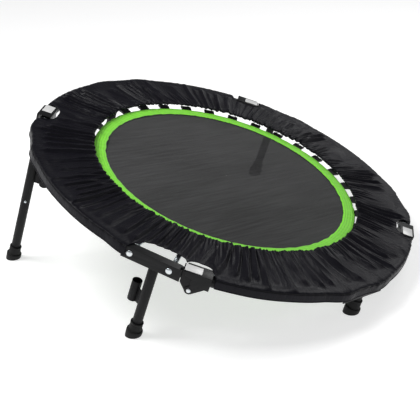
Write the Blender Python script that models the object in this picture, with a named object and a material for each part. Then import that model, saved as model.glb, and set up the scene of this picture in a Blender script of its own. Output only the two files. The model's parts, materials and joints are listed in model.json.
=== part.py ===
"""Folding mini trampoline with an inclined jumping deck.

Everything above the soles is laid out in the deck's own frame: the jumping mat lies in
the plane z = 0 about the origin, and azimuths are counted from +X, the low end of the
deck. A parent empty then tips the deck by TILT about Y and lifts it, so that the
soles of the six legs stand level on the floor at z = 0.
"""

from math import cos, pi, radians, sin, tan

import bmesh
import bpy
from mathutils import Matrix, Vector

# ---------------------------------------------------------------- driving dimensions (m)
COVER_R = 0.500          # outer radius of the spring cover: a 1.00 m (40 inch) trampoline
TILT = radians(17.8)     # the deck slopes down towards +X
DECK_HEIGHT = 0.2055     # mat to sole plane, measured square to the deck at its centre
GAP = 0.0003             # clearance between pieces that touch on the real object

RING_R = 0.483           # centre line of the tubular ring
RING_Z = -0.002
TUBE_R = 0.0125          # 25 mm tube
TUBE_WALL = 0.0015
MAT_R = 0.3147
BAND_R = 0.3470          # outer edge of the webbing band sewn round the mat

HINGE_AZIMUTHS = {"right": 10, "back": 100, "left": 190, "front": 280}
FOLD_AZIMUTH = radians(HINGE_AZIMUTHS["back"])
PIVOT_Z = -0.029         # hinge pins run below the tubes, so that the ring folds downwards
LOBE_R = 0.010           # rounded eye of a hinge leaf about its pin
PIN_R = 0.0040
JOINT_GAP = 0.0016       # between the ends of two ring tubes

SPRING_COUNT = 32
SPRING_R = 0.0040
STRAP_R0, STRAP_R1 = 0.3500, 0.3560

LEG_R = 0.01135          # 22.7 mm leg tube
LEG_WALL = 0.0015
LEGS = {
    "right_front": -30, "right_back": 30, "back": 90,
    "left_back": 150, "left_front": 210, "front": 270,
}                        # azimuth of each leg
BOLT_OFFSETS = {"a": -0.057, "b": 0.035}   # a bracket's two bolts, measured along the ring from the leg
BOLT_R = 0.0030
BRACKET_WALL = 0.0018
BRACKET_LONG, BRACKET_SHORT = 0.075, 0.0620
FLANGE_SHORT = 0.0560    # the top flange stops sooner on the short side

SOCKET_R, SOCKET_BORE = 0.0114, 0.0099
SOCKET_LENGTH = 0.0550
SOCKET_OFFSET = 0.0355
SOCKETS = {
    "front": (150, -0.0785), "left_front": (10, -0.0535),
}                        # each handlebar socket: which way it stands off its leg, and its top
BUTTONS = {"left_front": 293, "left_back": 67}   # which way the snap button of each long leg faces
BUTTON_Z = -0.159
BUTTON_R = 0.0031

COVER_TOP = 0.0170
COVER_SHEET = 0.0025
SKIRT_BOTTOM = -0.0080
COVER_INNER = 0.3500
WINDOWS = {
    "right": (11.5, 5.4, 0.447),
    "back": (101.5, 5.4, 0.447),
    "left": (191.5, 5.4, 0.447),
    "front": (274.2, 11.8, 0.442),
}                        # openings in the cover's edge: centre azimuth, half width, inner radius

RING_TOP = RING_Z + TUBE_R
RING_BOTTOM = RING_Z - TUBE_R
LEAF_STEP = 0.0022       # from the tube to the inner leaf, and from there to the outer one
INNER_TOP = RING_TOP + LEAF_STEP
OUTER_TOP = INNER_TOP + LEAF_STEP
LEAF_INNER_CAVITY, LEAF_INNER_WALL = 0.0146, 0.0160
LEAF_OUTER_CAVITY, LEAF_OUTER_WALL = 0.0164, 0.0180
BRACKET_OUTER = TUBE_R + 0.0005
BRACKET_WEB = 0.0060     # how far a bracket's top flange reaches inwards over the tube
BRACKET_TOP = RING_TOP + GAP + BRACKET_WALL

RING_SIDES = 10
ARC_STEP = radians(5)
RING_STEP = radians(7.5)


# ---------------------------------------------------------------- mesh helpers
def point(radius, azimuth, z):
    return Vector((radius * cos(azimuth), radius * sin(azimuth), z))


def material(name, colour, roughness, metallic=0.0):
    made = bpy.data.materials.new(name)
    made.use_nodes = True
    shader = made.node_tree.nodes["Principled BSDF"]
    shader.inputs["Base Color"].default_value = (*colour, 1.0)
    shader.inputs["Roughness"].default_value = roughness
    shader.inputs["Metallic"].default_value = metallic
    return made


def add_object(name, mesh_builder, surface, place=Matrix.Identity(4)):
    """A named object from a bmesh, parented to the tipped deck."""
    mesh_builder.normal_update()
    bmesh.ops.recalc_face_normals(mesh_builder, faces=mesh_builder.faces)
    mesh = bpy.data.meshes.new(name)
    mesh_builder.to_mesh(mesh)
    mesh_builder.free()
    made = bpy.data.objects.new(name, mesh)
    bpy.context.scene.collection.objects.link(made)
    made.parent = deck
    made.matrix_local = place
    if surface:
        mesh.materials.append(surface)
        mesh.shade_smooth()
        mesh.set_sharp_from_angle(angle=radians(35))
    return made


def add_cutter(name, mesh_builder, place=Matrix.Identity(4)):
    made = add_object(name, mesh_builder, None, place)
    made.hide_render = True
    made.display_type = "WIRE"
    return made


def cut(target, cutter):
    modifier = target.modifiers.new("cut_" + cutter.name, "BOOLEAN")
    modifier.operation = "DIFFERENCE"
    modifier.object = cutter


def circle(radius, sides, centre=(0.0, 0.0)):
    step = 2 * pi / sides
    return [(centre[0] + radius * cos(i * step), centre[1] + radius * sin(i * step)) for i in range(sides)]


def swept(outline, start, end, hole=None, step=ARC_STEP):
    """A closed (radius, z) outline swept about Z from one azimuth to another."""
    builder = bmesh.new()
    steps = max(2, round((end - start) / step))
    rings = []
    for loop in filter(None, (outline, hole)):
        sections = []
        for i in range(steps + 1):
            azimuth = start + (end - start) * i / steps
            sections.append([builder.verts.new(point(r, azimuth, z)) for r, z in loop])
        for a, b in zip(sections, sections[1:]):
            for j in range(len(loop)):
                k = (j + 1) % len(loop)
                builder.faces.new((a[j], a[k], b[k], b[j]))
        rings.append(sections)
    for end_index in (0, -1):
        if hole:
            outer, inner = rings[0][end_index], rings[1][end_index]
            for j in range(len(outer)):
                k = (j + 1) % len(outer)
                builder.faces.new((outer[j], outer[k], inner[k], inner[j]))
        else:
            builder.faces.new(rings[0][end_index])
    return builder


def lathed(profile, sides=16):
    """A solid turned about Z from (radius, z) points that end on the axis, or a tube if none do."""
    builder = bmesh.new()
    closed = profile[0][0] > 0
    columns = []
    for i in range(sides):
        azimuth = 2 * pi * i / sides
        column = [None if r == 0 else builder.verts.new(point(r, azimuth, z)) for r, z in profile]
        columns.append(column)
    poles = {j: builder.verts.new((0, 0, z)) for j, (r, z) in enumerate(profile) if r == 0}
    spans = range(len(profile) if closed else len(profile) - 1)
    for i in range(sides):
        here, there = columns[i], columns[(i + 1) % sides]
        for j in spans:
            k = (j + 1) % len(profile)
            near = [poles.get(j, here[j]), poles.get(k, here[k])]
            far = [poles.get(k, there[k]), poles.get(j, there[j])]
            builder.faces.new(list(dict.fromkeys(near + far)))
    return builder


def block(x0, x1, y0, y1, z0, z1):
    builder = bmesh.new()
    bmesh.ops.create_cube(builder, size=1)
    centre = Vector((x0 + x1, y0 + y1, z0 + z1)) / 2
    size = Vector((x1 - x0, y1 - y0, z1 - z0))
    for vertex in builder.verts:
        vertex.co = Vector(a * b for a, b in zip(vertex.co, size)) + centre
    return builder


def plate(outline, near, far):
    """An outline in the X-Z plane made solid from Y = near to Y = far."""
    builder = bmesh.new()
    face = builder.faces.new([builder.verts.new((x, near, z)) for x, z in outline])
    made = bmesh.ops.extrude_face_region(builder, geom=[face])
    for item in made["geom"]:
        if isinstance(item, bmesh.types.BMVert):
            item.co.y = far
    return builder


def station(azimuth_degrees, radius=RING_R):
    """A frame on the ring: X along the tube (towards greater azimuth), Y inwards, Z up."""
    azimuth = radians(azimuth_degrees)
    return Matrix.Translation(point(radius, azimuth, 0)) @ Matrix.Rotation(azimuth + pi / 2, 4, "Z")


def along_y(z=0.0, x=0.0):
    """Turns a shape modelled on Z so that its axis lies on Y at the given X and Z, its top outwards."""
    return Matrix.Translation((x, 0, z)) @ Matrix.Rotation(pi / 2, 4, "X")


# ---------------------------------------------------------------- materials
def make_materials():
    return {
        "frame": material("satin_black_paint", (0.018, 0.018, 0.019), 0.38),
        "leg": material("textured_black_paint", (0.022, 0.022, 0.023), 0.5),
        "zinc": material("bright_zinc", (0.72, 0.73, 0.75), 0.25, 1.0),
        "rubber": material("black_rubber", (0.02, 0.02, 0.02), 0.7),
        "mat": material("woven_mat", (0.055, 0.055, 0.057), 0.75),
        "band": material("green_webbing", (0.16, 0.68, 0.05), 0.6),
        "cover": material("black_nylon", (0.012, 0.011, 0.015), 0.45),
    }


# ---------------------------------------------------------------- ring and hinges
def build_ring(look):
    names = ("back_right", "back_left", "front_left", "front_right")
    corners = [HINGE_AZIMUTHS[side] for side in ("right", "back", "left", "front")]
    half_gap = JOINT_GAP / 2 / RING_R
    tubes = []
    for name, first in zip(names, corners):
        start, end = radians(first) + half_gap, radians(first + 90) - half_gap
        outline = circle(TUBE_R, RING_SIDES, (RING_R, RING_Z))
        bore = circle(TUBE_R - TUBE_WALL, RING_SIDES, (RING_R, RING_Z))
        tube = swept(outline, start, end, bore, RING_STEP)
        tubes.append(add_object("ring_tube_" + name, tube, look["frame"]))
    return tubes


def eye(from_degrees, to_degrees, count):
    """Points of a hinge leaf's rounded eye about the pin."""
    angles = [radians(from_degrees + (to_degrees - from_degrees) * i / (count - 1)) for i in range(count)]
    return [(LOBE_R * cos(a), PIVOT_Z + LOBE_R * sin(a)) for a in angles]


def hinge_leaf(name, outline, cavity, wall, top, surface, place, pin_hole):
    """An inverted channel over the tube, its two cheeks reaching down to the pin."""
    leaf = add_object(name, plate(outline, -wall, wall), surface, place)
    length = 2 * BRACKET_LONG
    hollow = block(-length, length, -cavity, cavity, -length, top - BRACKET_WALL)
    cut(leaf, add_cutter("hollow_of_" + name, hollow, place))
    cut(leaf, pin_hole)
    return leaf


def build_hinge(side, look):
    place = station(HINGE_AZIMUTHS[side])
    hole = lathed([(0, -0.03), (PIN_R + 0.0004, -0.03), (PIN_R + 0.0004, 0.03), (0, 0.03)], 12)
    pin_hole = add_cutter("pin_hole_" + side, hole, place @ along_y(PIVOT_Z))
    short, reach, overhang = 0.024, 0.040, 0.018
    half_gap = JOINT_GAP / 2
    inner = [(-short, INNER_TOP), (-short, RING_BOTTOM - 0.001), *eye(215, 360, 6)]
    inner += [(LOBE_R * 0.6, RING_BOTTOM - 0.004), (-half_gap, RING_BOTTOM - 0.001), (-half_gap, INNER_TOP)]
    walls = LEAF_INNER_CAVITY, LEAF_INNER_WALL, INNER_TOP
    hinge_leaf(f"hinge_inner_leaf_{side}", inner, *walls, look["frame"], place, pin_hole)
    outer = [(-overhang, OUTER_TOP), (-overhang, RING_TOP - 0.006), (-half_gap, RING_TOP - 0.010)]
    outer += [(-half_gap, RING_BOTTOM - 0.003), *eye(150, 310, 7)]
    outer += [(0.031, RING_BOTTOM - 0.002), (reach, RING_BOTTOM - 0.002), (reach, OUTER_TOP)]
    walls = LEAF_OUTER_CAVITY, LEAF_OUTER_WALL, OUTER_TOP
    hinge_leaf(f"hinge_outer_leaf_{side}", outer, *walls, look["frame"], place, pin_hole)
    face, head_r, head = LEAF_OUTER_WALL + GAP, 0.0052, 0.0030
    end = [(head_r, face), (head_r, face + head * 0.4), (head_r * 0.7, face + head), (0, face + head)]
    far_end = [(r, -z) for r, z in reversed(end)]
    profile = [*far_end, (PIN_R, -face), (PIN_R, face), *end]
    add_object("hinge_pin_" + side, lathed(profile, 12), look["zinc"], place @ along_y(PIVOT_Z))


# ---------------------------------------------------------------- legs
def sole_height(leg_azimuth, radius=RING_R):
    """Deck-frame z at which the floor meets a line square to the deck."""
    return tan(TILT) * radius * cos(leg_azimuth) - DECK_HEIGHT


def build_bracket(name, place, look, bolt_holes):
    face, low = -BRACKET_OUTER - BRACKET_WALL, RING_BOTTOM - 0.0020
    shape = block(-BRACKET_LONG, BRACKET_SHORT, face, BRACKET_WEB, low, BRACKET_TOP)
    bracket = add_object("leg_bracket_" + name, shape, look["frame"], place)
    hollow = block(-0.1, 0.1, -BRACKET_OUTER, 0.1, -0.1, BRACKET_TOP - BRACKET_WALL)
    cut(bracket, add_cutter("hollow_of_bracket_" + name, hollow, place))
    corner = block(FLANGE_SHORT, 0.1, -BRACKET_OUTER, 0.1, -0.1, 0.1)
    cut(bracket, add_cutter("corner_of_bracket_" + name, corner, place))
    cut(bracket, bolt_holes)


def bolt_profile(offset):
    """Carriage bolt on Z: domed head at +Z outside the bracket, nut at -Z inside the ring."""
    sag = RING_R - (RING_R ** 2 - offset ** 2) ** 0.5   # the tube curves away from its bracket
    head_r, head_h, nut_r, nut_h = 0.0075, 0.0030, 0.0045, 0.0035
    face = BRACKET_OUTER + BRACKET_WALL + GAP
    back = TUBE_R + sag + 0.0018
    dome = [(head_r * cos(a), face + head_h * sin(a)) for a in (0, 0.45, 0.95)]
    nut = [(0, -back - nut_h), (nut_r, -back - nut_h), (nut_r, -back)]
    return [*nut, (BOLT_R, -back), (BOLT_R, face), *dome, (0, face + head_h)]


def build_leg_tube(name, place, sole_z, look):
    top, bottom = RING_BOTTOM - 0.0007, sole_z + 0.0103
    bore = LEG_R - LEG_WALL
    wall = [(bore, bottom), (LEG_R, bottom), (LEG_R, top), (bore, top)]
    tube = add_object("leg_tube_" + name, lathed(wall, 18), look["leg"], place)
    if name in BUTTONS:
        build_button(name, place.to_translation(), tube, look)


def build_button(name, leg_centre, tube, look):
    """The domed spring button that locks a long leg's tube, standing out of a hole in its wall."""
    aim = Matrix.Rotation(radians(BUTTONS[name]), 4, "Z") @ Matrix.Rotation(pi / 2, 4, "Y")
    place = Matrix.Translation(leg_centre + Vector((0, 0, BUTTON_Z))) @ aim
    hole_r, root = BUTTON_R + GAP, LEG_R - LEG_WALL - 0.0030
    hole = lathed([(0, root), (hole_r, root), (hole_r, LEG_R + 0.01), (0, LEG_R + 0.01)], 12)
    cut(tube, add_cutter("button_hole_" + name, hole, place))
    dome = [(BUTTON_R * cos(a), LEG_R + 0.0012 + 0.6 * BUTTON_R * sin(a)) for a in (0, 0.5, 1.0)]
    profile = [(0, root), (BUTTON_R, root), *dome, (0, LEG_R + 0.0012 + 0.6 * BUTTON_R)]
    add_object("leg_snap_button_" + name, lathed(profile, 12), look["zinc"], place)


def build_boot(name, place, sole_z, look):
    """A rubber boot: sleeve and collar round the tube, and a wide sole sliced level with the floor."""
    bore = LEG_R + GAP
    sole = [(0, -0.0070), (0.0178, -0.0070), (0.0187, 0.0150), (0.0183, 0.0172)]
    sleeve = [(0.0152, 0.0180), (0.0142, 0.0330), (0.0150, 0.0340), (0.0150, 0.0375)]
    socket = [(bore, 0.0385), (bore, 0.0100), (0, 0.0100)]
    profile = sole + sleeve + socket
    builder = lathed([(r, z + sole_z) for r, z in profile], 18)
    builder.transform(place)
    floor_normal = Vector((-sin(TILT), 0, cos(TILT)))
    floor_point = Vector((0, 0, -DECK_HEIGHT))
    everything = [*builder.verts, *builder.edges, *builder.faces]
    plane = {"plane_co": floor_point, "plane_no": floor_normal}
    bmesh.ops.bisect_plane(builder, geom=everything, clear_inner=True, **plane)
    rim = [edge for edge in builder.edges if edge.is_boundary]
    bmesh.ops.contextual_create(builder, geom=rim)
    add_object("foot_boot_" + name, builder, look["rubber"])


def build_socket(name, direction_degrees, top, leg_place, look):
    """An open-topped tube for a handlebar post, held off the leg by a short web."""
    away = Matrix.Rotation(radians(direction_degrees), 4, "Z")
    centre = leg_place.to_translation()
    place = Matrix.Translation(centre) @ away
    tube_place = place @ Matrix.Translation((SOCKET_OFFSET, 0, 0))
    bottom = top - SOCKET_LENGTH
    floor_z = bottom + 0.0020
    profile = [(0, bottom), (SOCKET_R, bottom), (SOCKET_R, top)]
    profile += [(SOCKET_BORE, top), (SOCKET_BORE, floor_z), (0, floor_z)]
    socket = add_object("handle_socket_" + name, lathed(profile, 16), look["leg"], tube_place)
    web_from, web_to = LEG_R + GAP - SOCKET_OFFSET, -SOCKET_BORE - 0.0006
    web = block(web_from, web_to, -0.0015, 0.0015, bottom + 0.005, top - 0.014)
    web_object = add_cutter("web_of_socket_" + name, web, tube_place)
    joined = socket.modifiers.new("weld_web", "BOOLEAN")
    joined.operation = "UNION"
    joined.object = web_object


def build_legs(tubes, look):
    drill = lathed([(0, -0.04), (BOLT_R + GAP, -0.04), (BOLT_R + GAP, 0.04), (0, 0.04)], 12)
    drilled = bpy.data.meshes.new("bolt_drill")
    drill.to_mesh(drilled)
    drill.free()
    for name, azimuth_degrees in LEGS.items():
        place = station(azimuth_degrees)
        sole_z = sole_height(radians(azimuth_degrees))
        holes = bmesh.new()
        for end, offset in BOLT_OFFSETS.items():
            bolt_place = along_y(RING_Z, offset)
            copy = bmesh.new()
            copy.from_mesh(drilled)
            copy.transform(bolt_place)
            spare = bpy.data.meshes.new("bolt_hole")
            copy.to_mesh(spare)
            copy.free()
            holes.from_mesh(spare)
            bolt = lathed(bolt_profile(offset), 12)
            add_object(f"bracket_bolt_{name}_{end}", bolt, look["zinc"], place @ bolt_place)
        bolt_holes = add_cutter("bolt_holes_" + name, holes, place)
        build_bracket(name, place, look, bolt_holes)
        cut(ring_tube_at(tubes, azimuth_degrees), bolt_holes)
        build_leg_tube(name, place, sole_z, look)
        build_boot(name, place, sole_z, look)
        if name in SOCKETS:
            build_socket(name, *SOCKETS[name], place, look)


def ring_tube_at(tubes, azimuth_degrees):
    return tubes[int((azimuth_degrees - HINGE_AZIMUTHS["right"]) % 360 // 90)]


# ---------------------------------------------------------------- mat, springs and cover
def half_ranges():
    """Azimuth range of the left and of the right half of the soft parts, either side of the fold."""
    return {"left": (FOLD_AZIMUTH, FOLD_AZIMUTH + pi), "right": (FOLD_AZIMUTH - pi, FOLD_AZIMUTH)}


def build_mat(look):
    """The jumping mat and its webbing band, each in two halves that meet on the fold line."""
    half_mat, half_band = 0.0014, 0.0020
    gap = GAP / MAT_R
    inner, outer = MAT_R + GAP, BAND_R
    band = [(inner, -half_band), (outer, -half_band), (outer, half_band), (inner, half_band)]
    steps = round(pi / ARC_STEP)
    for half, (start, end) in half_ranges().items():
        turns = [2 * gap + (pi - 4 * gap) * i / steps for i in range(steps + 1)]
        disc = plate([(MAT_R * cos(a), MAT_R * sin(a)) for a in turns], -half_mat, half_mat)
        disc.transform(Matrix.Rotation(start, 4, "Z") @ Matrix.Rotation(-pi / 2, 4, "X"))
        add_object("mat_" + half, disc, look["mat"])
        add_object("mat_band_" + half, swept(band, start + gap, end - gap), look["band"])


def build_springs(look):
    """Each quarter's springs stand on one strap, the webbing that ties them to the mat."""
    pitch = 2 * pi / SPRING_COUNT
    low, high = -0.0015, 0.0015
    strap = [(STRAP_R0, low), (STRAP_R1, low), (STRAP_R1, high), (STRAP_R0, high)]
    per_quarter = SPRING_COUNT // 4
    quarters = {"back_right": "right", "back_left": "back", "front_left": "left", "front_right": "front"}
    for name, side in quarters.items():
        start = radians(HINGE_AZIMUTHS[side])
        margin = 2 * GAP / STRAP_R0
        tie = swept(strap, start + margin, start + pi / 2 - margin)
        base = add_object("springs_" + name, tie, look["zinc"])
        coils = bmesh.new()
        for i in range(per_quarter):
            azimuth = start + (i + 0.5) * pitch
            inner, outer = STRAP_R1 - 0.002, RING_R - TUBE_R - 0.0075
            coil = lathed([(0, inner), (SPRING_R, inner), (SPRING_R, outer), (0, outer)], 6)
            coil.transform(Matrix.Rotation(azimuth, 4, "Z") @ Matrix.Rotation(pi / 2, 4, "Y"))
            spare = bpy.data.meshes.new("coil")
            coil.to_mesh(spare)
            coil.free()
            coils.from_mesh(spare)
        joined = base.modifiers.new("springs", "BOOLEAN")
        joined.operation = "UNION"
        joined.object = add_cutter("coils_" + name, coils)


def cover_outline():
    """Section of the cover: inner hem, top sheet over the springs, and the skirt outside the ring."""
    inner_top, edge_top = COVER_TOP + 0.001, COVER_TOP - 0.003
    top = [(COVER_INNER, inner_top - 0.006), (COVER_INNER, inner_top)]
    top += [(0.400, COVER_TOP), (0.485, COVER_TOP - 0.0005)]
    rim = [(0.4965, edge_top), (COVER_R, edge_top - 0.003), (COVER_R, SKIRT_BOTTOM)]
    under = [(COVER_R - COVER_SHEET, SKIRT_BOTTOM), (COVER_R - COVER_SHEET, edge_top - 0.001)]
    back = [(0.485, COVER_TOP - COVER_SHEET - 0.0005), (0.400, COVER_TOP - COVER_SHEET)]
    hem = [(COVER_INNER + 0.004, inner_top - 0.006)]
    return top + rim + under + back + hem


def window_cutter(name, centre_degrees, half_degrees, inner):
    centre, half = radians(centre_degrees), radians(half_degrees)
    margin = 0.05
    section = [(inner, -margin), (COVER_R + margin, -margin), (COVER_R + margin, margin), (inner, margin)]
    return add_cutter("window_" + name, swept(section, centre - half, centre + half))


def bracket_notches():
    """Blocks that clear the skirt of the cover off the leg brackets, whose flat faces stand out past it."""
    notches = bmesh.new()
    margin, top = 0.003, BRACKET_TOP + 0.0006
    for azimuth_degrees in LEGS.values():
        notch = block(-BRACKET_LONG - margin, BRACKET_SHORT + margin, -0.03, -0.005, -0.05, top)
        notch.transform(station(azimuth_degrees))
        spare = bpy.data.meshes.new("notch")
        notch.to_mesh(spare)
        notch.free()
        notches.from_mesh(spare)
    return add_cutter("bracket_notches", notches)


def build_cover(look):
    halves = {}
    notches = bracket_notches()
    for half, (start, end) in half_ranges().items():
        gap = GAP / COVER_INNER
        shell = swept(cover_outline(), start + gap, end - gap)
        halves[half] = add_object("spring_cover_" + half, shell, look["cover"])
    for cover in halves.values():
        cut(cover, notches)
    for name, window in WINDOWS.items():
        cutter = window_cutter(name, *window)
        for half, cover in halves.items():
            if name in (half, "front", "back"):
                cut(cover, cutter)


# ---------------------------------------------------------------- assembly
def stand_on_floor():
    """Tips the deck, stands the soles on z = 0 and centres the whole object on the origin."""
    deck.matrix_world = Matrix.Translation((0, 0, DECK_HEIGHT * cos(TILT))) @ Matrix.Rotation(TILT, 4, "Y")
    bpy.context.view_layer.update()
    evaluated = bpy.context.evaluated_depsgraph_get()
    corners = []
    for piece in bpy.context.scene.objects:
        if piece.type == "MESH" and not piece.hide_render:
            made = piece.evaluated_get(evaluated)
            corners += [made.matrix_world @ vertex.co for vertex in made.data.vertices]
    for axis in (0, 1):
        values = [corner[axis] for corner in corners]
        deck.location[axis] -= (min(values) + max(values)) / 2


for leftover in list(bpy.data.objects):
    bpy.data.objects.remove(leftover)
deck = bpy.data.objects.new("deck", None)
bpy.context.scene.collection.objects.link(deck)
looks = make_materials()
ring_tubes = build_ring(looks)
for hinge_side in HINGE_AZIMUTHS:
    build_hinge(hinge_side, looks)
build_legs(ring_tubes, looks)
build_mat(looks)
build_springs(looks)
build_cover(looks)
stand_on_floor()
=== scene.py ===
"""Looks of the folding mini trampoline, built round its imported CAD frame.

Everything is laid out in the deck's own frame: the jumping mat is the plane z = 0 about the
origin, and azimuths are counted from +X, the low end of the deck. DECK is where that frame
stands in the world. Lengths are metres.
"""

import json
from math import acos, atan2, cos, hypot, pi, radians, sin, tan, tau

import bmesh
import bpy
import numpy as np
from mathutils import Matrix, Vector


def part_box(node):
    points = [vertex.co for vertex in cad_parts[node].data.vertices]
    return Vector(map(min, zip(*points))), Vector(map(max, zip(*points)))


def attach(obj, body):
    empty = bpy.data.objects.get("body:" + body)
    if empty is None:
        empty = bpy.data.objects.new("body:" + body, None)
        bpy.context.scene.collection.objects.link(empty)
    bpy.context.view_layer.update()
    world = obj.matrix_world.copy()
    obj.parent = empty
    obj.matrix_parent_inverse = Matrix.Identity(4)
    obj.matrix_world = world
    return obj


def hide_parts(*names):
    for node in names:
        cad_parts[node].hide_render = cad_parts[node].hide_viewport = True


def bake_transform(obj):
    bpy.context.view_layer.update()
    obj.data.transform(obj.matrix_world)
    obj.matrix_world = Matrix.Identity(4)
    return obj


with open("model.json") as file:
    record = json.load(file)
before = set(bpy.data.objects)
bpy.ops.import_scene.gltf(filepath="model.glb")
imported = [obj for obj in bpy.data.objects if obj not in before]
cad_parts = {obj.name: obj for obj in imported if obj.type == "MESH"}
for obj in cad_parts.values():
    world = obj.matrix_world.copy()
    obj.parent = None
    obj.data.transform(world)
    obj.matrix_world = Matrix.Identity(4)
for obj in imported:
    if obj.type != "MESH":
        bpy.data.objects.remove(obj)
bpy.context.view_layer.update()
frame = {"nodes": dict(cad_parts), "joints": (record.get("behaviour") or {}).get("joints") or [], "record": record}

# ---------------------------------------------------------------- places from the frame
NODES = frame["nodes"]
FOLD = frame["joints"][0]
MOUNTS = {mount["name"]: mount for mount in frame["record"]["mounts"]}
PIVOT_DEPTH = 0.029                      # the fold's pins stand this far under the mat


def deck_matrix():
    up = Vector(MOUNTS["handle_socket_rim_front"]["axis"]).normalized()
    across = Vector((0, 1, 0))
    centre = Vector(FOLD["pos_m"]) + PIVOT_DEPTH * up
    return Matrix.Translation(centre) @ Matrix((across.cross(up), across, up)).transposed().to_4x4()


DECK = deck_matrix()
TO_DECK = DECK.inverted()
TILT = acos(DECK[2][2])
FLOOR_BELOW = DECK[2][3] / cos(TILT)     # deck centre to floor, square to the deck
fold_direction = TO_DECK.to_3x3() @ Vector(FOLD["axis"])
FOLD_AZIMUTH = atan2(fold_direction.y, fold_direction.x)
HINGES = {
    "right": FOLD_AZIMUTH - pi / 2,
    "back": FOLD_AZIMUTH,
    "left": FOLD_AZIMUTH + pi / 2,
    "front": FOLD_AZIMUTH + pi,
}
# The quarter of the ring that starts at each hinge, counting towards greater azimuth.
QUARTERS = {"right": "back_right", "back": "back_left", "left": "front_left", "front": "front_right"}
SOLES = {
    name.removeprefix("sole_"): TO_DECK @ Vector(mount["pos_m"])
    for name, mount in MOUNTS.items()
    if name.startswith("sole_")
}
RING_R = hypot(SOLES["front"].x, SOLES["front"].y)
COVER_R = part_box("spring_cover_right")[1].y - DECK[1][3]     # this half reaches the furthest back

# ---------------------------------------------------------------- driving dimensions
GAP = 0.0003
RING_Z = -0.002
TUBE_R = 0.0125
RING_TOP, RING_BOTTOM = RING_Z + TUBE_R, RING_Z - TUBE_R
HINGE_TOP = 0.0149                       # upper face of a hinge's outer leaf
LEAF_WALL = 0.0180                       # its cheek, from the middle of the tube
PIN_R = 0.0040
MAT_R = 0.3147
BAND_R = 0.3470
SPRING_COUNT = 32
SHARED_KINDS = ("coil_spring", "v_ring", "mat_strap")    # all of a kind share one mesh
LEG_R = 0.01135
BRACKET_FACE = 0.0148                    # outer face of a leg bracket, from the middle of the tube
BRACKET_LONG, BRACKET_SHORT = 0.075, 0.062               # its reach either side of the leg
BOLT_OFFSETS = {"a": -0.057, "b": 0.035}
BOLT_HEAD_R, BOLT_HEAD = 0.0076, 0.0034
SOCKET_OFFSET = 0.0355
SOCKET_R, SOCKET_BORE = 0.0114, 0.0099
SOCKET_LENGTH = 0.0550
SOCKETS = {"front": (radians(150), -0.0785), "left_front": (radians(10), -0.0535)}   # direction, top
BUTTONS = {"left_front": radians(293), "left_back": radians(67)}
BUTTON_Z = -0.159
BUTTON_R = 0.0031


def half_at(azimuth):
    """The body that carries whatever stands at an azimuth."""
    return "left_half" if sin(azimuth - FOLD_AZIMUTH) > 0 else "right_half"


def polar(radius, azimuth, z=0.0):
    return Vector((radius * cos(azimuth), radius * sin(azimuth), z))


def station(azimuth, radius=RING_R):
    """A frame on the ring: X along the tube (towards greater azimuth), Y inwards, Z up."""
    return Matrix.Translation(polar(radius, azimuth)) @ Matrix.Rotation(azimuth + pi / 2, 4, "Z")


def facing_out(x, z):
    """Turns a shape modelled on Z to lie across the ring at a station, its top outwards."""
    return Matrix.Translation((x, 0, z)) @ Matrix.Rotation(pi / 2, 4, "X")


# ---------------------------------------------------------------- material helpers
def look(name, colour, roughness, **sockets):
    """A Principled material; sockets are further inputs, their spaces written as underscores."""
    made = bpy.data.materials.new(name)
    made.use_nodes = True
    shader = made.node_tree.nodes["Principled BSDF"]
    shader.inputs["Base Color"].default_value = (*colour, 1.0)
    shader.inputs["Roughness"].default_value = roughness
    for socket, value in sockets.items():
        shader.inputs[socket.replace("_", " ")].default_value = value
    return made


def add(material, kind, inputs=None, **properties):
    """A node in a material or world, its inputs given as numbers or as the sockets that feed them."""
    tree = material.node_tree
    made = tree.nodes.new("ShaderNode" + kind)
    for name, value in properties.items():
        setattr(made, name, value)
    for name, value in (inputs or {}).items():
        if isinstance(value, bpy.types.NodeSocket):
            tree.links.new(value, made.inputs[name])
        else:
            made.inputs[name].default_value = value
    return made


def feed(material, socket_name, source):
    shader = material.node_tree.nodes["Principled BSDF"]
    material.node_tree.links.new(source, shader.inputs[socket_name])


def place_of(material, stretch=(1, 1, 1), source="Object"):
    """Texture coordinates in metres, stretched per axis."""
    coordinates = add(material, "TexCoord")
    return add(material, "Mapping", {"Vector": coordinates.outputs[source], "Scale": stretch}).outputs[0]


def noise(material, vector, scale, detail=3.0, roughness=0.5):
    inputs = {"Vector": vector, "Scale": scale, "Detail": detail, "Roughness": roughness}
    return add(material, "TexNoise", inputs).outputs["Fac"]


def calculate(material, operation, *values):
    return add(material, "Math", dict(enumerate(values)), operation=operation).outputs[0]


def ranged(material, value, from_low, from_high, to_low, to_high):
    inputs = {
        "Value": value,
        "From Min": from_low,
        "From Max": from_high,
        "To Min": to_low,
        "To Max": to_high,
    }
    return add(material, "MapRange", inputs).outputs[0]


def mixed(material, factor, first, second):
    made = add(material, "Mix", {0: factor}, data_type="RGBA")
    for socket, colour in ((made.inputs[6], first), (made.inputs[7], second)):
        if isinstance(colour, bpy.types.NodeSocket):
            material.node_tree.links.new(colour, socket)
        else:
            socket.default_value = (*colour, 1.0)
    return made.outputs[2]


def bumped(material, *layers):
    """Chains bump nodes: each layer is (height socket, strength, distance)."""
    normal = None
    for height, strength, distance in layers:
        inputs = {"Height": height, "Strength": strength, "Distance": distance}
        if normal:
            inputs["Normal"] = normal
        normal = add(material, "Bump", inputs).outputs[0]
    feed(material, "Normal", normal)


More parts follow.
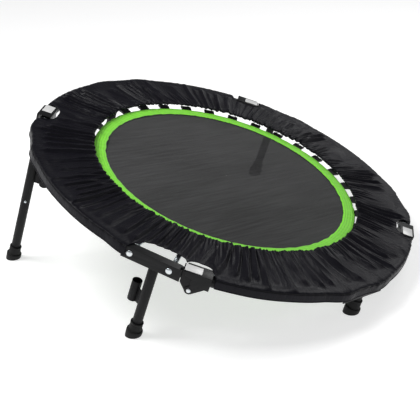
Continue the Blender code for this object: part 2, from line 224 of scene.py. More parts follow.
# ---------------------------------------------------------------- materials
def satin_paint():
    made = look("satin_black_paint", (0.018, 0.018, 0.019), 0.36, Specular_IOR_Level=0.20)
    place = place_of(made)
    cloudy = noise(made, place, 18, 4)
    feed(made, "Roughness", ranged(made, cloudy, 0.3, 0.7, 0.30, 0.46))
    feed(made, "Base Color", mixed(made, cloudy, (0.005, 0.005, 0.0055), (0.010, 0.010, 0.011)))
    bumped(made, (noise(made, place, 700, 2), 0.12, 0.0004), (noise(made, place, 90, 2), 0.10, 0.0008))
    return made


def powder_coat():
    made = look("textured_powder_coat", (0.022, 0.022, 0.023), 0.5, Specular_IOR_Level=0.18)
    place = place_of(made)
    grains = noise(made, place, 1400, 2, 0.6)
    feed(made, "Roughness", ranged(made, grains, 0.3, 0.7, 0.42, 0.62))
    cloudy = noise(made, place, 30, 3)
    feed(made, "Base Color", mixed(made, cloudy, (0.006, 0.006, 0.0065), (0.012, 0.012, 0.013)))
    bumped(made, (grains, 0.35, 0.0005), (noise(made, place, 260, 2), 0.15, 0.0006))
    return made


def bright_zinc():
    made = look("bright_zinc", (0.70, 0.72, 0.75), 0.25, Metallic=1.0)
    place = place_of(made)
    cloudy = noise(made, place, 160, 4, 0.6)
    feed(made, "Roughness", ranged(made, cloudy, 0.3, 0.7, 0.18, 0.38))
    tint = mixed(made, noise(made, place, 60, 2), (0.58, 0.66, 0.72), (0.80, 0.79, 0.77))
    feed(made, "Base Color", tint)
    bumped(made, (cloudy, 0.08, 0.0003))
    return made


def moulded_rubber():
    made = look("moulded_rubber", (0.02, 0.02, 0.02), 0.6, Specular_IOR_Level=0.18)
    place = place_of(made)
    bloom = noise(made, place, 45, 5, 0.6)
    feed(made, "Base Color", mixed(made, bloom, (0.006, 0.006, 0.006), (0.014, 0.014, 0.0145)))
    feed(made, "Roughness", ranged(made, bloom, 0.3, 0.7, 0.48, 0.68))
    bumped(made, (noise(made, place, 1100, 2), 0.2, 0.0004))
    return made


def weave_height(material, thread):
    """Over-and-under threads of a plain weave, from UV coordinates in metres."""
    place = place_of(material, source="UV")
    parts = add(material, "SeparateXYZ", {"Vector": place}).outputs
    turns = tau / (2 * thread)
    warp = calculate(material, "SINE", calculate(material, "MULTIPLY", parts[0], turns))
    weft = calculate(material, "SINE", calculate(material, "MULTIPLY", parts[1], turns))
    return calculate(material, "MULTIPLY", warp, weft)


def cover_nylon():
    """Thin black polyester: fine weave, small crinkles along the pleats, stitching above the skirt."""
    made = look("pleated_black_nylon", (0.012, 0.011, 0.015), 0.38, Specular_IOR_Level=0.12)
    crinkle = noise(made, place_of(made, (1.0, 0.22, 1), "UV"), 170, 5, 0.62)
    cloth = noise(made, place_of(made, (1.0, 0.5, 1), "UV"), 22, 4, 0.55)
    across = add(made, "SeparateXYZ", {"Vector": place_of(made, source="UV")}).outputs[1]
    seam_distance = calculate(made, "ABSOLUTE", calculate(made, "SUBTRACT", across, SEAM_AT))
    seam = ranged(made, seam_distance, 0.0006, 0.0018, 1.0, 0.0)
    feed(made, "Roughness", ranged(made, cloth, 0.3, 0.7, 0.30, 0.46))
    base = mixed(made, cloth, (0.0030, 0.0028, 0.0052), (0.0080, 0.0074, 0.0118))
    feed(made, "Base Color", mixed(made, seam, base, (0.004, 0.004, 0.005)))
    bumped(
        made,
        (weave_height(made, 0.0005), 0.10, 0.0002),
        (crinkle, 0.55, 0.0022),
        (cloth, 0.25, 0.0040),
        (calculate(made, "MULTIPLY", seam, -1.0), 0.8, 0.0008),
    )
    return made


def green_webbing():
    """Lime webbing: rows of lock stitch, ribs along its length and a dark sewn edge."""
    made = look("green_webbing", (0.16, 0.68, 0.05), 0.55, Sheen_Weight=0.15)
    place = place_of(made, source="UV")
    parts = add(made, "SeparateXYZ", {"Vector": place}).outputs
    width = BAND_R - MAT_R
    rows = calculate(made, "MULTIPLY", parts[1], tau * 5.0 / width)
    groove = ranged(made, calculate(made, "COSINE", rows), 0.90, 1.0, 0.0, 1.0)
    pitch = calculate(made, "SINE", calculate(made, "MULTIPLY", parts[0], tau / 0.0042))
    dashes = ranged(made, pitch, -0.6, 0.3, 0.3, 1.0)
    stitch = calculate(made, "MULTIPLY", groove, dashes)
    ribs = calculate(made, "SINE", calculate(made, "MULTIPLY", parts[1], tau / 0.0016))
    fray = noise(made, place_of(made, (1, 0.2, 1), "UV"), 140, 3)
    reach = calculate(made, "ABSOLUTE", calculate(made, "SUBTRACT", parts[1], width / 2))
    worn_reach = calculate(made, "ADD", reach, calculate(made, "MULTIPLY", fray, 0.0030))
    edge = ranged(made, worn_reach, width / 2, width / 2 + 0.0008, 0.0, 1.0)
    shade = mixed(made, noise(made, place, 60, 4), (0.225, 0.850, 0.020), (0.285, 0.980, 0.036))
    sewn = mixed(made, calculate(made, "MULTIPLY", stitch, 0.75), shade, (0.055, 0.340, 0.014))
    feed(made, "Base Color", mixed(made, edge, sewn, (0.012, 0.012, 0.013)))
    bumped(
        made,
        (ribs, 0.25, 0.0003),
        (calculate(made, "MULTIPLY", groove, -1.0), 0.9, 0.0010),
        (noise(made, place_of(made, (0.35, 1, 1), "UV"), 90, 3), 0.3, 0.0010),
    )
    return made


def woven_mat():
    """Taut woven polypropylene, through which a little of what stands below can be seen."""
    made = look(
        "woven_polypropylene", (0.030, 0.030, 0.031), 0.70, Alpha=0.976, Specular_IOR_Level=0.14
    )
    streaks = noise(made, place_of(made, (0.10, 2.0, 1), "UV"), 70, 4, 0.6)
    broad = noise(made, place_of(made, (0.3, 1, 1), "UV"), 7, 3)
    fine_share = calculate(made, "MULTIPLY", streaks, 0.65)
    broad_share = calculate(made, "MULTIPLY", broad, 0.35)
    level = ranged(made, calculate(made, "ADD", fine_share, broad_share), 0.35, 0.65, 0.0, 1.0)
    feed(made, "Base Color", mixed(made, level, (0.007, 0.007, 0.0075), (0.047, 0.047, 0.048)))
    feed(made, "Roughness", ranged(made, streaks, 0.3, 0.7, 0.52, 0.70))
    bumped(made, (weave_height(made, 0.0011), 0.35, 0.0004), (streaks, 0.12, 0.0008))
    return made


def black_webbing():
    made = look("black_webbing", (0.012, 0.012, 0.013), 0.6, Sheen_Weight=0.1)
    place = place_of(made)
    bumped(made, (noise(made, place, 900, 2), 0.5, 0.0005))
    cloudy = noise(made, place, 120, 3)
    feed(made, "Base Color", mixed(made, cloudy, (0.009, 0.009, 0.010), (0.019, 0.019, 0.021)))
    return made


def sticker_vinyl():
    made = look("white_vinyl", (0.80, 0.80, 0.79), 0.32, Coat_Weight=0.3, Coat_Roughness=0.2)
    place = place_of(made)
    soft = noise(made, place, 70, 3)
    feed(made, "Base Color", mixed(made, soft, (0.70, 0.70, 0.69), (0.84, 0.84, 0.83)))
    bumped(made, (soft, 0.25, 0.0006))
    return made


def studio_floor():
    """A pale floor that glows a little, so that it stays near white away from the lamps."""
    glow = {"Emission_Color": (1.0, 1.0, 1.0, 1.0), "Emission_Strength": 0.66}
    made = look("studio_floor", (0.60, 0.60, 0.60), 0.9, **glow)
    feed(made, "Roughness", ranged(made, noise(made, place_of(made), 3, 3), 0.3, 0.7, 0.85, 0.95))
    return made


# ---------------------------------------------------------------- mesh helpers
def piece(name, shape, surface, body=None, place=Matrix.Identity(4), stands_for=(), sharp=40):
    """A shown piece from (vertices, faces), placed in the deck's frame and riding on a body."""
    vertices, faces = shape
    builder = bmesh.new()
    points = [builder.verts.new(v) for v in vertices]
    for face in faces:
        builder.faces.new([points[i] for i in face])
    bmesh.ops.remove_doubles(builder, verts=builder.verts, dist=1e-6)
    bmesh.ops.recalc_face_normals(builder, faces=builder.faces)
    mesh = bpy.data.meshes.new(name)
    builder.to_mesh(mesh)
    builder.free()
    mesh.shade_smooth()
    mesh.set_sharp_from_angle(angle=radians(sharp))
    return shown(name, mesh, surface, body, DECK @ place, stands_for)


def shown(name, mesh, surface, body, place, stands_for=()):
    """Shows a mesh as a piece. A mesh that several pieces share stays as it is, and they are placed."""
    mesh.materials.clear()
    mesh.materials.append(surface)
    made = bpy.data.objects.new(name, mesh)
    bpy.context.scene.collection.objects.link(made)
    if mesh.users > 1 or name.startswith(SHARED_KINDS):
        made.matrix_world = place
    else:
        mesh.transform(place)
    if body:
        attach(made, body)
    if stands_for:
        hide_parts(*stands_for)
    return made


def merged(shapes):
    """Several (vertices, faces) shapes as one."""
    vertices, faces = [], []
    for more_vertices, more_faces in shapes:
        start = len(vertices)
        vertices += [tuple(v) for v in more_vertices]
        faces += [tuple(start + i for i in face) for face in more_faces]
    return vertices, faces


def moved(shape, matrix):
    vertices, faces = shape
    return [matrix @ Vector(v) for v in vertices], faces


def filleted(outline, size):
    """The outline with each corner between its ends rounded by three points."""
    made = [Vector(outline[0])]
    for before, corner, after in zip(outline, outline[1:], outline[2:]):
        corner = Vector(corner)
        to_before, to_after = Vector(before) - corner, Vector(after) - corner
        near = corner + to_before.normalized() * min(size, 0.45 * to_before.length)
        far = corner + to_after.normalized() * min(size, 0.45 * to_after.length)
        made += [near, (near + far + 2 * corner) / 4, far]
    return made + [Vector(outline[-1])]


def grid_faces(rows, columns):
    """Faces of a grid whose columns close round."""
    faces = []
    for row in range(rows - 1):
        for column in range(columns):
            following = (column + 1) % columns
            here, above = row * columns, (row + 1) * columns
            faces.append((here + column, here + following, above + following, above + column))
    return faces


def turned(profile, sides=48):
    """A solid turned about Z from (radius, z) points."""
    vertices = [polar(r, tau * i / sides, z) for r, z in profile for i in range(sides)]
    faces = grid_faces(len(profile), sides)
    return vertices, faces


def wire(path, radius, sides=8, closed=False):
    """A round wire along a path of points."""
    path = np.asarray(path, float)
    ahead, behind = np.roll(path, -1, axis=0), np.roll(path, 1, axis=0)
    if not closed:
        ahead[-1], behind[0] = path[-1], path[0]
    tangents = ahead - behind
    tangents /= np.linalg.norm(tangents, axis=1)[:, None]
    side = np.cross(tangents[0], (0.0, 0.0, 1.0))
    if np.linalg.norm(side) < 1e-3:
        side = np.cross(tangents[0], (1.0, 0.0, 0.0))
    vertices = []
    for centre, tangent in zip(path, tangents):
        side = side - tangent * (side @ tangent)
        side /= np.linalg.norm(side)
        other = np.cross(tangent, side)
        for i in range(sides):
            angle = tau * i / sides
            vertices.append(centre + radius * (cos(angle) * side + sin(angle) * other))
    faces = grid_faces(len(path), sides)
    last = (len(path) - 1) * sides
    if closed:
        faces += [(last + i, last + (i + 1) % sides, (i + 1) % sides, i) for i in range(sides)]
    else:
        faces += [tuple(range(sides)), tuple(range(last + sides - 1, last - 1, -1))]
    return vertices, faces


def slab(size, centre, edge):
    """A block with its edges rounded off."""
    builder = bmesh.new()
    bmesh.ops.create_cube(builder, size=1)
    for vertex in builder.verts:
        vertex.co = Vector(a * b for a, b in zip(vertex.co, size)) + Vector(centre)
    bmesh.ops.bevel(builder, geom=builder.edges[:], offset=edge, segments=3, profile=0.5, affect="EDGES")
    vertices = [v.co.copy() for v in builder.verts]
    faces = [tuple(v.index for v in face.verts) for face in builder.faces]
    builder.free()
    return vertices, faces


def softened(node, surface, body, width=0.0006):
    """A copy of a pressed-steel CAD node with its edges rounded, which stands for the node."""
    builder = bmesh.new()
    builder.from_mesh(NODES[node].data)
    bmesh.ops.remove_doubles(builder, verts=builder.verts, dist=1e-5)
    flat = {"verts": builder.verts, "edges": builder.edges}
    bmesh.ops.dissolve_limit(builder, angle_limit=radians(2), use_dissolve_boundaries=False, **flat)
    edges = [e for e in builder.edges if e.is_manifold and e.calc_face_angle(0) > radians(40)]
    rounding = {"offset": width, "segments": 3, "profile": 0.5, "clamp_overlap": True}
    bmesh.ops.bevel(builder, geom=edges, affect="EDGES", **rounding)
    mesh = bpy.data.meshes.new(node + "_pressing")
    builder.to_mesh(mesh)
    builder.free()
    mesh.shade_smooth()
    mesh.set_sharp_from_angle(angle=radians(35))
    return shown(node + "_pressing", mesh, surface, body, Matrix.Identity(4), [node])


# ---------------------------------------------------------------- ring and hinges
def ring_tube(start, end):
    """A quarter of the round ring."""
    sides, steps = 28, 60
    vertices = []
    for step in range(steps + 1):
        azimuth = start + (end - start) * step / steps
        for i in range(sides):
            angle = tau * i / sides
            vertices.append(polar(RING_R + TUBE_R * cos(angle), azimuth, RING_Z + TUBE_R * sin(angle)))
    last = steps * sides
    caps = [tuple(range(sides)), tuple(range(last, last + sides))]
    return vertices, grid_faces(steps + 1, sides) + caps


def build_ring(surface):
    half_gap = 0.0008 / RING_R
    for side, name in QUARTERS.items():
        start = HINGES[side]
        shape = ring_tube(start + half_gap, start + pi / 2 - half_gap)
        node = "ring_tube_" + name
        piece(node + "_rolled", shape, surface, half_at(start + pi / 4), stands_for=[node])


def build_hinges(paint, zinc, vinyl):
    label_length, label_width, label_thick = 0.038, 0.025, 0.0004
    head_r, head = 0.0052, 0.0030
    face = LEAF_WALL + GAP
    cap = [(head_r, face), (head_r, face + 0.35 * head)]
    cap += [(0.75 * head_r, face + 0.85 * head), (0, face + head)]
    far_cap = [(r, -z) for r, z in reversed(cap)]
    pin = turned(filleted([*far_cap, (PIN_R, -face), (PIN_R, face), *cap], 0.0008), 32)
    for side, azimuth in HINGES.items():
        before, after = half_at(azimuth - 0.1), half_at(azimuth + 0.1)
        softened("hinge_inner_leaf_" + side, paint, before)
        softened("hinge_outer_leaf_" + side, paint, after)
        place = station(azimuth)
        pin_body = "left_half"           # it carries the pins of the fold as well as its own
        if side == "right":
            pin_body = "right_half"
        node = "hinge_pin_" + side
        piece(node + "_rivet", pin, zinc, pin_body, place @ facing_out(0, -PIVOT_DEPTH), [node])
        centre = (-0.0025, -0.001, HINGE_TOP + label_thick / 2 + 0.0001)
        label = slab((label_length, label_width, label_thick), centre, 0.00015)
        piece("blank_label_" + side, label, vinyl, after, place)


# ---------------------------------------------------------------- legs
def bolt_shape(offset):
    """Domed carriage bolt on Z: head outwards, hexagon nut and thread end inwards of the curved tube."""
    face = BRACKET_FACE - 0.0004
    dome = [(BOLT_HEAD_R * cos(a), face + BOLT_HEAD * sin(a)) for a in np.linspace(0, pi / 2, 9)]
    head = turned([(0, face), *dome])
    nut_near = (RING_R ** 2 - offset ** 2) ** 0.5 - RING_R - TUBE_R - 0.0014
    nut_far = nut_near - 0.0035
    nut_r, shank_r = 0.0045, 0.0030
    chamfer = [(nut_r - 0.0003, nut_near), (nut_r, nut_near - 0.0004)]
    nut = turned([(0, nut_near), *chamfer, (nut_r, nut_far), (0, nut_far)], 6)
    tip = [(0, nut_far - 0.0002), (shank_r - 0.0004, nut_far)]
    shank = turned([*tip, (shank_r, nut_near), (shank_r, face), (0, face)], 24)
    return merged([head, nut, shank])


def boot_shape(foot, place):
    """A rubber boot: a sleeve with a rim round its mouth, and a wide sole sliced level with the floor."""
    bore = LEG_R + GAP
    sole = [(0, -0.012), (0.0178, -0.012), (0.0182, 0), (0.0187, 0.0090), (0.0187, 0.0148)]
    waist = [(0.0178, 0.0172), (0.0156, 0.0175), (0.0152, 0.0188)]
    sleeve = [(0.0143, 0.0325), (0.0140, 0.0338), (0.0149, 0.0346), (0.0150, 0.0372)]
    mouth = [(0.0144, 0.0384), (bore + 0.0008, 0.0386), (bore, 0.0380), (bore, 0.0330)]
    profile = filleted([(r, z + foot.z) for r, z in sole + waist + sleeve + mouth], 0.0008)
    vertices, faces = moved(turned(profile, 64), place)
    for vertex in vertices:
        vertex.z = max(vertex.z, tan(TILT) * vertex.x - FLOOR_BELOW)
    return vertices, faces


def leg_tube_shape(foot):
    top, bottom, bore = RING_BOTTOM - 0.0007, foot.z + 0.0103, LEG_R - 0.0015
    middle = (top + bottom) / 2
    outline = [(LEG_R, middle), (LEG_R, top), (bore, top), (bore, bottom), (LEG_R, bottom), (LEG_R, middle)]
    return turned(filleted(outline, 0.0005), 48)


def button_shape():
    """A snap button's shank and domed end, on Z from inside the leg's wall."""
    root, proud = LEG_R - 0.0030, LEG_R + 0.0012
    dome = [(BUTTON_R * cos(a), proud + 0.6 * BUTTON_R * sin(a)) for a in np.linspace(0, pi / 2, 8)]
    return turned([(0, root), (BUTTON_R, root), *dome], 32)


def socket_shape(top):
    """The open-topped tube for a handlebar post, about its own axis, and the web that holds it."""
    bottom = top - SOCKET_LENGTH
    floor_z = bottom + 0.0030
    outline = [(0, bottom), (0.55 * SOCKET_R, bottom + 0.0002), (SOCKET_R, bottom + 0.0040)]
    outline += [(SOCKET_R, top), (SOCKET_BORE, top), (SOCKET_BORE, floor_z), (0, floor_z)]
    tube = turned(filleted(outline, 0.0007), 48)
    reach = SOCKET_OFFSET - LEG_R - SOCKET_BORE
    centre = (-SOCKET_BORE - reach / 2 - 0.0004, 0, (top + bottom) / 2 - 0.0045)
    height = SOCKET_LENGTH - 0.019
    web = slab((reach, 0.0030, height), centre, 0.0005)
    return merged([tube, web])


def build_legs(paint, coat, zinc, rubber):
    for name, foot in SOLES.items():
        azimuth = atan2(foot.y, foot.x)
        place, body = station(azimuth), half_at(azimuth)
        softened("leg_bracket_" + name, paint, body)
        for end, offset in BOLT_OFFSETS.items():
            node = f"bracket_bolt_{name}_{end}"
            across = place @ facing_out(offset, RING_Z)
            piece(node + "_domed", bolt_shape(offset), zinc, body, across, [node])
        node = "leg_tube_" + name
        piece(node + "_coated", leg_tube_shape(foot), coat, body, place, [node])
        node = "foot_boot_" + name
        boot = boot_shape(foot, place)
        piece(node + "_moulded", boot, rubber, body, stands_for=[node], sharp=50)
        centre = Matrix.Translation(place.to_translation())
        if name in SOCKETS:
            node = "handle_socket_" + name
            direction, top = SOCKETS[name]
            away = Matrix.Rotation(direction, 4, "Z") @ Matrix.Translation((SOCKET_OFFSET, 0, 0))
            piece(node + "_welded", socket_shape(top), coat, body, centre @ away, [node])
        if name in BUTTONS:
            node = "leg_snap_button_" + name
            aim = Matrix.Rotation(BUTTONS[name], 4, "Z") @ Matrix.Rotation(pi / 2, 4, "Y")
            raised = Matrix.Translation((0, 0, BUTTON_Z))
            piece(node + "_domed", button_shape(), zinc, body, centre @ raised @ aim, [node])


# ---------------------------------------------------------------- springs, rings and straps
def spring_path():
    """Centre line of one spring with its two hooks; X is radius from the deck's centre."""
    wire_r, coil_r = 0.0011, 0.0050
    first, last = 0.3935, 0.4610
    turns = round((last - first) / (2.15 * wire_r))
    angles = np.linspace(0, tau * turns, turns * 12 + 1)
    advance = first + (last - first) * angles / angles[-1]
    coil = np.stack([advance, coil_r * np.cos(angles), coil_r * np.sin(angles)], -1)
    hook_at, hook_r = 0.3870, 0.0040
    turn = np.linspace(1.1 * pi, -0.25 * pi, 9)
    inner_hook = [(hook_at - hook_r * sin(a), hook_r * cos(a) - 0.2 * hook_r, 0) for a in turn]
    outer_hook = [
        (last + 0.004, 0.002, 0.002),
        (last + 0.007, 0, 0.0045),
        (RING_R - TUBE_R - 0.001, 0, 0.0085),
        (RING_R - 0.006, 0, RING_TOP + 0.0012),
        (RING_R - 0.001, 0, RING_TOP + 0.0009),
        (RING_R + 0.002, 0, RING_TOP - 0.004),
    ]
    return np.concatenate([inner_hook, coil, outer_hook]), wire_r


def v_ring_path():
    """The triangular wire ring between a strap and its spring."""
    base, apex, half_width, half_nose = 0.3665, 0.3880, 0.0140, 0.0012
    near_side = [(base, 0), (base, half_width), (apex, half_nose)]
    far_side = [(x, -y) for x, y in reversed(near_side)]
    flat = filleted(near_side + far_side, 0.0035)
    return [(p.x, p.y, 0.0) for p in flat[:-1]]


def strap_shape():
    """A webbing loop sewn under the mat's band and folded round the V-ring."""
    thick, width, columns = 0.0013, 0.0280, 5
    nose_x, nose_r = 0.3670, 0.0026
    nose = [(nose_x + nose_r * sin(a), nose_r * cos(a)) for a in np.linspace(0.2, pi - 0.2, 7)]
    upper = [(0.3370, -0.0024), (0.3475, -0.0022), (0.3520, 0.0006), (0.3600, nose_r)]
    lower = [(0.3600, -nose_r), (0.3500, -0.0036), (0.3370, -0.0024 - 2 * thick)]
    outline = upper + nose + lower
    vertices = []
    for column in range(columns):
        y = width * (column / (columns - 1) - 0.5)
        vertices += [(x, y, z) for x, z in outline]
    count = len(outline)
    faces = grid_faces(columns, count)
    faces += [tuple(range(count)), tuple(range((columns - 1) * count, columns * count))]
    return vertices, faces


def build_springs(zinc, webbing):
    """One spring, V-ring and strap at each station; all 32 of a kind share one mesh."""
    path, wire_r = spring_path()
    kinds = {
        "coil_spring": (wire(path, wire_r, 6), zinc, "zinc"),
        "v_ring": (wire(v_ring_path(), 0.0013, 10, closed=True), zinc, "zinc"),
        "mat_strap": (strap_shape(), webbing, "cover"),
    }
    per_quarter = SPRING_COUNT // len(QUARTERS)
    for kind, (shape, surface, slot) in kinds.items():
        mesh = None
        for side, quarter in QUARTERS.items():
            for i in range(per_quarter):
                azimuth = HINGES[side] + (i + 0.5) * tau / SPRING_COUNT
                name = f"{kind}_{quarter}_{i + 1}"
                place, body = Matrix.Rotation(azimuth, 4, "Z"), half_at(azimuth)
                if mesh:
                    made = shown(name, mesh, surface, body, DECK @ place)
                else:
                    made = piece(name, shape, surface, body, place)
                    mesh = made.data
                if kind == "coil_spring":
                    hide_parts("springs_" + quarter)


# ---------------------------------------------------------------- soft goods
def wander(azimuth, low, high, random, count=6):
    """A slow periodic wave along the azimuth, between about -1 and 1."""
    total = 0.0
    for _ in range(count):
        total = total + np.sin(random.integers(low, high) * azimuth + random.uniform(0, tau))
    return total / count ** 0.5 / 1.4


def corner_sources(u, v, next_u, next_v):
    """Which (u, v) arrays and rows each corner of a face reads, in the order of sheet's faces."""
    lower, upper = slice(0, -1), slice(1, None)
    return [(u, v, lower), (u, v, upper), (next_u, next_v, upper), (next_u, next_v, lower)]


def bend_at_fold(made):
    """Bakes a soft piece's placement into its mesh; the piece does not bend at the fold."""
    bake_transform(made)


def sheet(name, points, u, v, surface, stands_for=(), lap=0.0):
    """A sheet closed round the azimuth from (rows, columns, 3) points, placed in the deck's frame.

    u and v are its texture coordinates in metres, and lap is what u gains in one turn.
    """
    rows, columns = points.shape[:2]
    index = np.arange(rows * columns).reshape(rows, columns)
    following = np.roll(index, -1, axis=1)
    faces = np.stack([index[:-1], index[1:], following[1:], following[:-1]], axis=-1).reshape(-1, 4)
    mesh = bpy.data.meshes.new(name)
    mesh.from_pydata(points.reshape(-1, 3).tolist(), [], faces.tolist())
    next_u, next_v = np.roll(u, -1, axis=1), np.roll(v, -1, axis=1)
    next_u[:, -1] += lap
    corners = [np.stack([a[part], b[part]], -1) for a, b, part in corner_sources(u, v, next_u, next_v)]
    layer = mesh.uv_layers.new(name="UVMap")
    layer.data.foreach_set("uv", np.stack(corners, axis=2).astype(np.float32).ravel())
    mesh.shade_smooth()
    bend_at_fold(shown(name, mesh, surface, None, DECK, stands_for))


def build_mat(surface):
    """The taut mat, hanging a millimetre at its centre and barely rumpled near its edge."""
    random = np.random.default_rng(7)
    columns, rows = 360, 56
    azimuth = np.tile(np.arange(columns) * tau / columns, (rows, 1))
    radius = np.tile((MAT_R + 0.004) * np.linspace(0.002, 1, rows)[:, None], (1, columns))
    x, y = radius * np.cos(azimuth), radius * np.sin(azimuth)
    share = radius / MAT_R
    dip = 0.0010 * (1 - share ** 2)
    rumple = 0.0004 * share ** 2 * (1 - share) * 4 * wander(azimuth, 4, 15, random)
    points = np.stack([x, y, 0.0009 - dip + rumple], -1)
    lie = radians(61)                    # the weave runs this way, from +X
    u, v = x * cos(lie) + y * sin(lie), y * cos(lie) - x * sin(lie)
    sheet("jumping_mat", points, u, v, surface, ["mat_left", "mat_right"])


def build_band(surface):
    """The webbing sewn round the mat, slightly crowned and a little uneven at its edges."""
    random = np.random.default_rng(21)
    columns, rows = 1080, 17
    azimuth = np.tile(np.arange(columns) * tau / columns, (rows, 1))
    share = np.tile(np.linspace(0, 1, rows)[:, None], (1, columns))
    inner = MAT_R - 0.0006 + 0.0009 * wander(azimuth, 30, 90, random)
    outer = BAND_R + 0.0007 * wander(azimuth, 24, 70, random)
    radius = inner + (outer - inner) * share
    crown = 0.0026 * (1 - (2 * share - 1) ** 6)
    ripple = 0.0005 * wander(azimuth, 40, 130, random) * np.sin(pi * share)
    z = 0.0012 + crown + ripple
    points = np.stack([radius * np.cos(azimuth), radius * np.sin(azimuth), z], -1)
    under = np.stack([points[..., 0], points[..., 1], -0.0016 - 0.3 * crown], -1)
    u, v, lap = azimuth * BAND_R, share * (BAND_R - MAT_R), tau * BAND_R
    halves = ["mat_band_left", "mat_band_right"]
    sheet("mat_band_webbing", points, u, v, surface, halves, lap=lap)
    sheet("mat_band_underside", under[::-1], u, v, surface, lap=lap)


# The cover's section as (radius, height) on a cover of radius 0.5, from its inner lip to the skirt's hem.
LIP = [(0.3515, 0.0158), (0.3488, 0.0170), (0.3493, 0.0194), (0.3600, 0.0195)]
TOP = [(0.4000, 0.0170), (0.4400, 0.0160), (0.4760, 0.0168), (0.4930, 0.0168)]
SKIRT = [(0.4990, 0.0142), (0.5002, 0.0080), (0.4998, -0.0085)]


def smooth_line(corners, rounds=4):
    """Chaikin's corner cutting, with the ends kept."""
    line = np.asarray(corners, float)
    for _ in range(rounds):
        near, far = 0.75 * line[:-1] + 0.25 * line[1:], 0.25 * line[:-1] + 0.75 * line[1:]
        line = np.concatenate([line[:1], np.stack([near, far], 1).reshape(-1, 2), line[-1:]])
    return line


def eased(x):
    """From 0 to 1 as x goes from 0 to 1, level at both ends and beyond them."""
    x = np.clip(x, 0, 1)
    return x * x * (3 - 2 * x)


SECTION = smooth_line([(r * COVER_R / 0.5, z) for r, z in LIP + TOP + SKIRT])
SECTION_AT = np.concatenate([[0], np.cumsum(np.hypot(*np.diff(SECTION, axis=0).T))])     # arc length
SECTION_LENGTH = SECTION_AT[-1]
SEAM_AT = SECTION_LENGTH - 0.0200        # the pleated top is sewn to the plain skirt here


def along_section(r):
    """Arc length from the inner hem at which the cover's top reaches a radius."""
    start = np.argmin(SECTION[:, 0])
    radii, at = SECTION[start:, 0], SECTION_AT[start:]
    top = radii < COVER_R * 0.9975
    return float(np.interp(r, radii[top], at[top]))


def lobe(azimuth, start, end, power):
    """A blunt hump, 1 in the middle of a range of azimuths (degrees) and 0 at its ends."""
    x = np.abs((2 * np.degrees(azimuth) - start - end) / (end - start))
    return np.clip(1 - x ** power, 0, 1) ** (1 / power)


def free_edge(azimuth):
    """Arc length at which the cover ends: at the skirt's hem, or further in round each opening."""
    edge = np.full(azimuth.shape, SECTION_LENGTH)
    small_depth = SECTION_LENGTH - along_section(0.4540)
    for side in ("right", "back", "left"):
        centre = np.degrees(HINGES[side]) + 1.5
        edge -= small_depth * lobe(azimuth, centre - 5.3, centre + 5.3, 3.5)
    front = np.degrees(HINGES["front"] % tau)
    waist, deep, shallow = along_section(0.4700), along_section(0.4480), along_section(0.4520)
    front_window = (
        (SECTION_LENGTH - waist, -17.6, 5.6, 5.0),
        (waist - deep, -15.6, -2.6, 2.4),
        (waist - shallow, -2.6, 5.0, 2.4),
    )
    for depth, start, end, power in front_window:
        edge -= depth * lobe(azimuth, front + start, front + end, power)
    return edge


def over_brackets(azimuth):
    """Least radius at which the skirt clears the flat faces of the leg brackets and their bolt heads."""
    clear = np.zeros(azimuth.shape)
    softness = 0.11
    for foot in SOLES.values():
        turn = (azimuth - atan2(foot.y, foot.x) + pi) % tau - pi
        start, end = -BRACKET_LONG / RING_R, BRACKET_SHORT / RING_R
        reach = (RING_R + BRACKET_FACE + 0.0008) / np.cos(np.clip(turn, start, end)) - COVER_R
        for offset in BOLT_OFFSETS.values():
            reach += 0.9 * BOLT_HEAD * np.exp(-((turn - offset / RING_R) * RING_R / 0.016) ** 2)
        beyond = np.maximum(start - turn, turn - end)
        clear = np.maximum(clear, reach * (1 - eased(beyond / softness)))
    return COVER_R + clear


def flutes(azimuth, share, count, reach, ending, crest, power, random):
    """Gathers of height 0 to 1, skewed so that each climbs to its crest over that part of its width.

    Each runs outwards from the elastic by its own reach and dies away over the last stretch, the ending.
    """
    lean = 1.1 * wander(azimuth, 1, 6, random)
    cells = count * azimuth / tau + 1.6 * wander(azimuth, 3, 15, random) + lean * share * count / 100
    index = np.floor(cells).astype(int) % count
    swell = random.uniform(0.35, 1.0, count)[index]
    length = random.uniform(*reach, count)[index]
    across = cells - np.floor(cells)
    ridge = np.minimum(across / crest, (1 - across) / (1 - crest))
    return swell * ridge ** power * eased((length - share) / ending)


# Height, count, reach, ending, crest and power of each kind of gather, as flutes takes them.
GATHERS = (
    (0.0036, 250, (0.18, 0.60), 0.25, 0.40, 1.20),
    (0.0085, 106, (0.78, 1.02), 0.16, 0.74, 1.25),
    (0.0034, 67, (0.50, 0.95), 0.30, 0.50, 1.50),
)


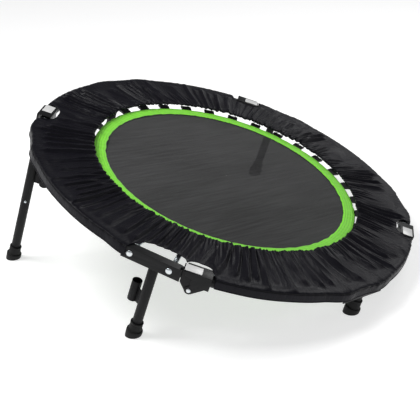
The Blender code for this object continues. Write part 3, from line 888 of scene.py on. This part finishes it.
def build_cover(surface):
    """The pleated cover over springs and ring, with its plain skirt and an opening at each hinge."""
    random = np.random.default_rng(4)
    columns, rows = 2400, 76
    azimuth = np.tile(np.arange(columns) * tau / columns, (rows, 1))
    along = np.linspace(0, 1, rows)[:, None] * free_edge(azimuth[:1])
    share = along / SEAM_AT
    radius = np.interp(along, SECTION_AT, SECTION[:, 0])
    height = np.interp(along, SECTION_AT, SECTION[:, 1])
    slope_r = np.interp(along, SECTION_AT, np.gradient(SECTION[:, 0], SECTION_AT))
    slope_z = np.interp(along, SECTION_AT, np.gradient(SECTION[:, 1], SECTION_AT))
    size = np.hypot(slope_r, slope_z)
    out_r, out_z = -slope_z / size, slope_r / size
    gathers = sum(height_of * flutes(azimuth, share, *kind, random) for height_of, *kind in GATHERS)
    gathers -= 0.0022 * np.clip((0.95 - share) / 0.12, 0, 1)
    skirt = np.clip((along - SEAM_AT + 0.006) / 0.006, 0, 1)
    gathers *= 1 - eased(skirt)
    over_springs = np.cos(SPRING_COUNT * (azimuth - FOLD_AZIMUTH) + pi)
    springs = 0.0007 * over_springs * np.sin(pi * np.clip(share, 0, 1))
    puckers = 0.0006 * wander(azimuth, 60, 200, random) * np.exp(-((along - SEAM_AT) / 0.006) ** 2)
    flare = 0.0009 * wander(azimuth, 7, 26, random) * np.clip((along - SEAM_AT) / 0.02, 0, 1)
    gathers *= 0.45 + 0.55 * np.clip(along / 0.012, 0, 1)
    gathers *= 0.25 + 0.75 * np.clip((free_edge(azimuth[:1]) - along) / 0.022, 0, 1)
    radius += 0.0022 * wander(azimuth, 7, 48, random) * np.clip(1 - along / 0.030, 0, 1) ** 2
    lip = np.clip(1 - along / 0.010, 0, 1)
    out_r, out_z = out_r * (1 - lip), out_z * (1 - lip) + lip
    offset = gathers + springs + puckers + flare - 0.0020 * (1 - skirt)
    radius += out_r * offset
    radius += (over_brackets(azimuth) - COVER_R) * eased((along - SEAM_AT + 0.030) / 0.036)
    height += out_z * offset
    points = np.stack([radius * np.cos(azimuth), radius * np.sin(azimuth), height], -1)
    halves = ["spring_cover_left", "spring_cover_right"]
    u, lap = azimuth * COVER_R, tau * COVER_R
    sheet("spring_cover_pleated", points, u, along, surface, halves, lap=lap)
    for name, row, hem_r in (("cover_elastic_hem", 0, 0.0015), ("cover_skirt_hem", -1, 0.0010)):
        bend_at_fold(piece(name, wire(points[row], hem_r, 8, closed=True), surface))


# ---------------------------------------------------------------- studio
def build_studio():
    builder = bmesh.new()
    bmesh.ops.create_grid(builder, x_segments=1, y_segments=1, size=14)
    mesh = bpy.data.meshes.new("studio_floor")
    builder.to_mesh(mesh)
    builder.free()
    mesh.materials.append(studio_floor())
    floor = bpy.data.objects.new("studio_floor", mesh)
    floor.location.z = -0.0005
    bpy.context.scene.collection.objects.link(floor)

    world = bpy.data.worlds.new("studio")
    world.use_nodes = True
    background = world.node_tree.nodes["Background"]
    background.inputs["Color"].default_value = (0.97, 0.98, 1.0, 1.0)
    direction = add(world, "TexCoord").outputs["Generated"]
    height = add(world, "SeparateXYZ", {"Vector": direction}).outputs[2]
    strength = ranged(world, height, 0.02, 0.24, 0.80, 0.17)      # pale near the horizon only
    world.node_tree.links.new(strength, background.inputs["Strength"])
    bpy.context.scene.world = world

    lamps = {
        "key": ((-1.6, -0.6, 3.0), 1.4, 76),
        "fill": ((2.0, -1.8, 2.0), 2.0, 7),
        "back": ((0.9, 2.6, 2.2), 1.2, 22),
    }
    for name, (place, size, power) in lamps.items():
        lamp = bpy.data.lights.new(name, "AREA")
        lamp.energy, lamp.size = power, size
        made = bpy.data.objects.new(name, lamp)
        made.location = place
        made.rotation_euler = (DECK.translation - Vector(place)).to_track_quat("-Z", "Y").to_euler()
        bpy.context.scene.collection.objects.link(made)


def build_camera():
    """The camera stands at the front, a little to the low side, and looks down on the deck."""
    azimuth, elevation, roll = radians(18.97), radians(25.02), radians(-0.67)
    distance, lens = 2.305, 77.14
    aim = DECK.translation + Vector((-0.0286, -0.0494, -0.0801))
    back = Vector((sin(azimuth) * cos(elevation), -cos(azimuth) * cos(elevation), sin(elevation)))
    lens_data = bpy.data.cameras.new("camera")
    lens_data.lens, lens_data.sensor_width = lens, 36.0
    camera = bpy.data.objects.new("camera", lens_data)
    turn = (-back).to_track_quat("-Z", "Y").to_matrix() @ Matrix.Rotation(roll, 3, "Z")
    camera.matrix_world = Matrix.Translation(aim + distance * back) @ turn.to_4x4()
    bpy.context.scene.collection.objects.link(camera)
    bpy.context.scene.camera = camera
    bpy.context.scene.view_settings.view_transform = "Standard"


# ---------------------------------------------------------------- assembly
paint, coat, zinc, rubber = satin_paint(), powder_coat(), bright_zinc(), moulded_rubber()
webbing = black_webbing()
build_ring(paint)
build_hinges(paint, zinc, sticker_vinyl())
build_legs(paint, coat, zinc, rubber)
build_springs(zinc, webbing)
build_mat(woven_mat())
build_band(green_webbing())
build_cover(cover_nylon())
build_studio()
build_camera()
